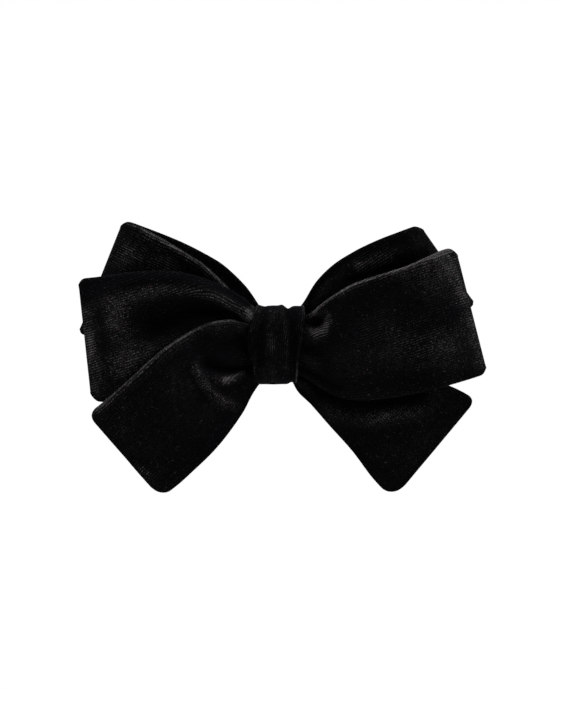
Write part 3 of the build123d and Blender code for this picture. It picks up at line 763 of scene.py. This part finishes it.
def tucked_end():
    """The wrap's end, folded under and lying between the strips and the stitched layer below the plate."""
    half_width = 8.4
    end_step = 0.6
    columns = 30
    path = [(-0.75, -5.2), (-0.75, -8.5), (-1.3, -11), (-2.8, -12.6)]
    total = curve_length(path)
    rows = int(total / end_step)
    s = np.linspace(0, 1, rows)
    y, z = smooth_curve(path, s).T[:, :, None]
    part = np.linspace(0, 1, columns)[None, :]
    shape = (rows, columns)
    x = np.broadcast_to(-half_width + 2 * half_width * part, shape)
    centre = grid_of(x, np.broadcast_to(y, shape), np.broadcast_to(z, shape))
    across = np.broadcast_to(part * WRAP_WIDTH, shape)
    nap_and_painted_light = np.full(shape, PLAIN_NAP)
    return centre, s * total, across, np.full(shape, EDGE_RADIUS), np.ones(rows), nap_and_painted_light, nap_and_painted_light


# ---------------------------------------------------------------- materials
def new_material(name):
    """A node material and its Principled shader."""
    material = bpy.data.materials.new(name)
    material.use_nodes = True
    nodes = material.node_tree.nodes
    return material, nodes, material.node_tree.links, nodes["Principled BSDF"]


def math_node(nodes, links, operation, *values):
    """A Math node fed by sockets or numbers."""
    node = nodes.new("ShaderNodeMath")
    node.operation = operation
    for i, value in enumerate(values):
        if isinstance(value, (int, float)):
            node.inputs[i].default_value = value
        else:
            links.new(value, node.inputs[i])
    return node.outputs[0]


def noise_node(nodes, links, vector, scale, detail=2.0, roughness=0.5):
    """Noise of one scale, in cycles per metre."""
    node = nodes.new("ShaderNodeTexNoise")
    node.inputs["Scale"].default_value = scale
    node.inputs["Detail"].default_value = detail
    node.inputs["Roughness"].default_value = roughness
    links.new(vector, node.inputs["Vector"])
    return node.outputs["Fac"]


def ramp_node(nodes, links, value, stops):
    """A colour ramp with (place, grey or colour) stops."""
    node = nodes.new("ShaderNodeValToRGB")
    elements = node.color_ramp.elements
    while len(elements) < len(stops):
        elements.new(0.5)
    for element, (place, tone) in zip(elements, stops):
        element.position = place
        element.color = (tone, tone, tone, 1) if isinstance(tone, (int, float)) else (*tone, 1)
    links.new(value, node.inputs["Fac"])
    return node.outputs["Color"]


def multiply_colours(nodes, links, first, second):
    """The product of two colours."""
    node = nodes.new("ShaderNodeMix")
    node.data_type = "RGBA"
    node.blend_type = "MULTIPLY"
    factor, first_colour, second_colour = node.inputs[0], node.inputs[6], node.inputs[7]
    factor.default_value = 1.0
    links.new(first, first_colour)
    links.new(second, second_colour)
    return node.outputs[2]


def bump_node(nodes, links, height, distance, strength, normal=None):
    """A bump of one height in metres."""
    node = nodes.new("ShaderNodeBump")
    node.inputs["Distance"].default_value = distance
    node.inputs["Strength"].default_value = strength
    links.new(height, node.inputs["Height"])
    if normal is not None:
        links.new(normal, node.inputs["Normal"])
    return node.outputs["Normal"]


def attribute_node(nodes, name):
    """A value stored on the mesh."""
    node = nodes.new("ShaderNodeAttribute")
    node.attribute_name = name
    return node.outputs["Fac"]


def velvet_material():
    """Black ribbed stretch velvet: deep pile, wales along the strip, crushed patches and bright fibres,
    with the painted highlights and painted shade of the nap attribute.

    Noise scales are cycles per metre and bump heights are metres.
    """
    material, nodes, links, shader = new_material("black_velvet")
    uv = nodes.new("ShaderNodeUVMap")
    uv.uv_map = "cloth"
    place = nodes.new("ShaderNodeTexCoord").outputs["Object"]
    split = nodes.new("ShaderNodeSeparateXYZ")
    links.new(uv.outputs["UV"], split.inputs[0])

    # The ribs, which wander a little.
    drift = math_node(nodes, links, "MULTIPLY", noise_node(nodes, links, place, 130, 1), 0.0006)
    across = math_node(nodes, links, "ADD", split.outputs["Y"], drift)
    turns = math_node(nodes, links, "MULTIPLY", across, 2 * math.pi / (RIB_PITCH * MM))
    wave = math_node(nodes, links, "SINE", turns)
    rib = math_node(nodes, links, "MULTIPLY_ADD", wave, 0.5, 0.5)

    # Crushed patches, single tufts, loose mottling, worn ribs, reddish lint and bright flecks.
    along = nodes.new("ShaderNodeMapping")
    along.inputs["Scale"].default_value = (0.6, 1, 1)
    links.new(uv.outputs["UV"], along.inputs["Vector"])
    cloth = along.outputs["Vector"]
    crush = noise_node(nodes, links, cloth, 95, 2, 0.5)
    grain = noise_node(nodes, links, uv.outputs["UV"], 2300, 1, 0.6)
    mottle = noise_node(nodes, links, place, 620, 1, 0.5)
    wear = noise_node(nodes, links, place, 50, 1, 0.5)
    lint = noise_node(nodes, links, place, 1500, 0, 0.5)
    fleck = noise_node(nodes, links, place, 1600, 0, 0.5)

    # How far the pile lies open, with the painted highlights and painted shade carried in the nap, sets
    # how much light it sends back, tuft by tuft and rib by rib.
    level = math_node(nodes, links, "MULTIPLY_ADD", crush, 0.6, -0.3)
    level = math_node(nodes, links, "ADD", level, attribute_node(nodes, "nap_and_painted_light"))
    lit = ramp_node(nodes, links, level, [(0.0, 0.05), (0.3, 0.15), (0.55, 0.4), (1.0, 1.0)])
    loose = math_node(nodes, links, "MULTIPLY_ADD", mottle, 0.3, -0.15)
    tufts = math_node(nodes, links, "ADD", grain, loose)
    speckle = ramp_node(nodes, links, tufts, [(0.39, 0.06), (0.5, 0.23), (0.61, 1.04)])
    # where the level is highest, open pile and painted highlights lift the speckle
    open_and_highlit = ramp_node(nodes, links, level, [(0.62, 0.0), (0.95, 0.55)])
    speckle = math_node(nodes, links, "MAXIMUM", speckle, open_and_highlit)
    showing = ramp_node(nodes, links, wear, [(0.42, 0.5), (0.64, 1.0)])
    smooth = ramp_node(nodes, links, level, [(0.93, 0.0), (1.0, 0.35)])
    hidden = math_node(nodes, links, "MULTIPLY", showing, math_node(nodes, links, "SUBTRACT", 1.0, rib))
    hidden = math_node(nodes, links, "MULTIPLY", hidden, math_node(nodes, links, "SUBTRACT", 1.0, smooth))
    ribs = math_node(nodes, links, "SUBTRACT", 1.0, hidden)
    flecks = ramp_node(nodes, links, fleck, [(0.72, 0.0), (0.79, 0.3)])
    tone = math_node(nodes, links, "MULTIPLY", lit, speckle)
    tone = math_node(nodes, links, "MULTIPLY", tone, ribs)
    tone = math_node(nodes, links, "ADD", tone, flecks)
    # the darkest stop serves deep pile and painted shade, the lightest stop open pile and painted
    # highlights
    deep_and_shaded_black = (0.0022, 0.0023, 0.0028)
    plain_black = (0.0134, 0.0130, 0.0136)
    open_and_highlit_grey = (0.133, 0.128, 0.128)
    colour = ramp_node(nodes, links, tone, [(0.0, deep_and_shaded_black), (0.3, plain_black), (1.0, open_and_highlit_grey)])

    height = math_node(nodes, links, "MULTIPLY_ADD", rib, 0.8, grain)
    broad = bump_node(nodes, links, crush, 0.0025, 0.15)
    normal = bump_node(nodes, links, height, 0.00026, 0.6, broad)
    warmth = ramp_node(nodes, links, lint, [(0.67, (1, 1, 1)), (0.76, (1.0, 0.62, 0.56))])
    links.new(multiply_colours(nodes, links, colour, warmth), shader.inputs["Base Color"])
    links.new(normal, shader.inputs["Normal"])
    shader.inputs["Roughness"].default_value = 0.95
    shader.inputs["Specular IOR Level"].default_value = 0.0
    shader.inputs["Sheen Weight"].default_value = 0.06
    shader.inputs["Sheen Roughness"].default_value = 0.22
    shader.inputs["Sheen Tint"].default_value = (0.3, 0.3, 0.31, 1)
    return material


def metal_material(name, colour, roughness, grain):
    """Nickel-plated steel: satin grain along the strip and faint handling marks."""
    material, nodes, links, shader = new_material(name)
    place = nodes.new("ShaderNodeTexCoord").outputs["Object"]
    stretch = nodes.new("ShaderNodeMapping")
    stretch.inputs["Scale"].default_value = (0.06, 1, 1)
    links.new(place, stretch.inputs["Vector"])
    lines = noise_node(nodes, links, stretch.outputs["Vector"], 9000, 3, 0.6)
    marks = noise_node(nodes, links, place, 350, 4, 0.6)
    shade = ramp_node(nodes, links, marks, [(0.3, [c * 0.86 for c in colour]), (0.7, colour)])
    rough = math_node(nodes, links, "MULTIPLY_ADD", marks, 0.18, roughness - 0.09)
    rough = math_node(nodes, links, "MULTIPLY_ADD", lines, 0.08, rough)
    links.new(shade, shader.inputs["Base Color"])
    links.new(rough, shader.inputs["Roughness"])
    links.new(bump_node(nodes, links, lines, 0.00002, grain), shader.inputs["Normal"])
    shader.inputs["Metallic"].default_value = 1.0
    return material


def thread_material():
    """Black twisted polyester thread."""
    material, nodes, links, shader = new_material("sewing_thread")
    place = nodes.new("ShaderNodeTexCoord").outputs["Object"]
    twist = noise_node(nodes, links, place, 5200, 2)
    tint = ramp_node(nodes, links, twist, [(0.3, 0.008), (0.7, 0.035)])
    links.new(tint, shader.inputs["Base Color"])
    links.new(bump_node(nodes, links, twist, 0.0001, 0.5), shader.inputs["Normal"])
    shader.inputs["Roughness"].default_value = 0.65
    shader.inputs["Specular IOR Level"].default_value = 0.25
    return material


def glue_material():
    """Cured clear-white hot-melt glue."""
    material, nodes, links, shader = new_material("hot_melt_glue")
    place = nodes.new("ShaderNodeTexCoord").outputs["Object"]
    cloud = noise_node(nodes, links, place, 600, 3)
    tint = ramp_node(nodes, links, cloud, [(0.3, (0.62, 0.6, 0.54)), (0.7, (0.76, 0.75, 0.7))])
    links.new(tint, shader.inputs["Base Color"])
    links.new(bump_node(nodes, links, cloud, 0.0004, 0.4), shader.inputs["Normal"])
    shader.inputs["Roughness"].default_value = 0.35
    return material


velvet = velvet_material()
thread = thread_material()
satin_steel = metal_material("clip_steel_satin", (0.62, 0.61, 0.59), 0.33, 0.25)
bright_steel = metal_material("pin_steel_bright", (0.72, 0.71, 0.7), 0.18, 0.1)
spring_steel = metal_material("spring_steel_satin", (0.5, 0.5, 0.5), 0.28, 0.2)

# ---------------------------------------------------------------- pieces
front_band = build_piece("front_band_velvet", [tube_from(*front_left), tube_from(*front_right)], velvet)
back_band = build_piece("back_band_velvet", [tube_from(*back_left), tube_from(*back_right)], velvet)
left_tail_piece = build_piece("left_tail_velvet", [tube_from(*left_tail)], velvet)
right_tail_piece = build_piece("right_tail_velvet", [tube_from(*right_tail)], velvet)
wrap_rings, wrap_length = wrap_part()
wrap_end = tucked_end()
wrap_piece = build_piece("centre_wrap_velvet", [wrap_rings, tube_from(*wrap_end)], velvet)

soft_pieces = [
    (front_band, "front_loops", (STRIP_WIDTH, front_left[1][-1] + front_right[1][-1]), "gathered"),
    (back_band, "back_loops", (BACK_BAND_WIDTH, back_left[1][-1] + back_right[1][-1]), "gathered"),
    (left_tail_piece, "left_tail", (STRIP_WIDTH, left_tail[1][-1]), "gathered"),
    (right_tail_piece, "right_tail", (STRIP_WIDTH, right_tail[1][-1]), "gathered"),
    (wrap_piece, "centre_wrap", (WRAP_WIDTH, wrap_length + wrap_end[1][-1]), "gathered"),
]
for piece, node, flat, held in soft_pieces:
    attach(piece, "bow")
    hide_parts(node)

node_finishes = {
    "gathering_thread": thread,
    "wrap_stitches": thread,
    "glue_pad": glue_material(),
    "base_plate": satin_steel,
    "clasp_arm": satin_steel,
    "catch_bracket": satin_steel,
    "hinge_pin": bright_steel,
    "catch_rivet": bright_steel,
    "leaf_spring": spring_steel,
    "catch_prong_upper": spring_steel,
    "catch_prong_lower": spring_steel,
}
for node, finish in node_finishes.items():
    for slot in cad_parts[node].material_slots:
        slot.material = finish


# ---------------------------------------------------------------- stage, lights and camera
def area_light(name, place, target, size, power):
    """A softbox aimed at a point."""
    light = bpy.data.lights.new(name, "AREA")
    light.shape = "RECTANGLE"
    light.size, light.size_y = size
    light.energy = power
    lamp = bpy.data.objects.new(name, light)
    lamp.location = place
    lamp.rotation_euler = (Vector(target) - Vector(place)).to_track_quat("-Z", "Y").to_euler()
    bpy.context.scene.collection.objects.link(lamp)


# The world shows white to the camera and is dim as a light.
world = bpy.data.worlds.new("studio")
bpy.context.scene.world = world
world.use_nodes = True
world_nodes, world_links = world.node_tree.nodes, world.node_tree.links
room_light = world_nodes["Background"]
room_light.inputs["Color"].default_value = (1, 1, 1, 1)
room_light.inputs["Strength"].default_value = ROOM_LIGHT
white_card = world_nodes.new("ShaderNodeBackground")
white_card.inputs["Color"].default_value = (1, 1, 1, 1)
seen = world_nodes.new("ShaderNodeMixShader")
world_links.new(world_nodes.new("ShaderNodeLightPath").outputs["Is Camera Ray"], seen.inputs[0])
world_links.new(room_light.outputs[0], seen.inputs[1])
world_links.new(white_card.outputs[0], seen.inputs[2])
world_links.new(seen.outputs[0], world_nodes["World Output"].inputs["Surface"])

floor_mesh = bpy.data.meshes.new("studio_floor")
floor_z = -0.16
floor_half = 0.3
floor_corners = [(-1, -1), (1, -1), (1, 1), (-1, 1)]
floor_points = [(x * floor_half, y * floor_half, floor_z) for x, y in floor_corners]
floor_mesh.from_pydata(floor_points, [], [(0, 1, 2, 3)])
floor = bpy.data.objects.new("studio_floor", floor_mesh)
bpy.context.scene.collection.objects.link(floor)
paper, paper_nodes, paper_links, paper_shader = new_material("white_paper")
paper_shader.inputs["Base Color"].default_value = (0.82, 0.82, 0.82, 1)
paper_shader.inputs["Roughness"].default_value = 0.9
floor_mesh.materials.append(paper)

area_light("key_above", (0.0, 0.0, 0.8), (0, -0.02, 0), (1.0, 0.3), 9.0)
area_light("softbox_left", (-0.75, 0.0, 0.42), (-0.04, -0.02, 0), (0.3, 0.6), 4.0)
area_light("softbox_right", (0.75, 0.0, 0.42), (0.04, -0.02, 0), (0.3, 0.6), 5.5)
area_light("rear_left", (-0.6, 0.8, 0.3), (-0.02, 0.01, 0), (0.6, 0.6), 3.0)
area_light("rear_right", (0.6, 0.8, 0.3), (0.02, 0.01, 0), (0.6, 0.6), 3.0)

bpy.context.scene.view_settings.view_transform = "Standard"
camera_data = bpy.data.cameras.new("photo_camera")
camera_distance = 1.2
view_height = 0.2642
view_centre = Vector((0.00092, -0.015, -0.00462))
camera_data.sensor_fit = "VERTICAL"
camera_data.sensor_height = 36.0
camera_data.lens = camera_data.sensor_height * camera_distance / view_height
camera = bpy.data.objects.new("photo_camera", camera_data)
camera.location = view_centre + Vector((0, -camera_distance, 0))
camera.rotation_euler = (math.pi / 2, 0, 0)
bpy.context.scene.collection.objects.link(camera)
bpy.context.scene.camera = camera
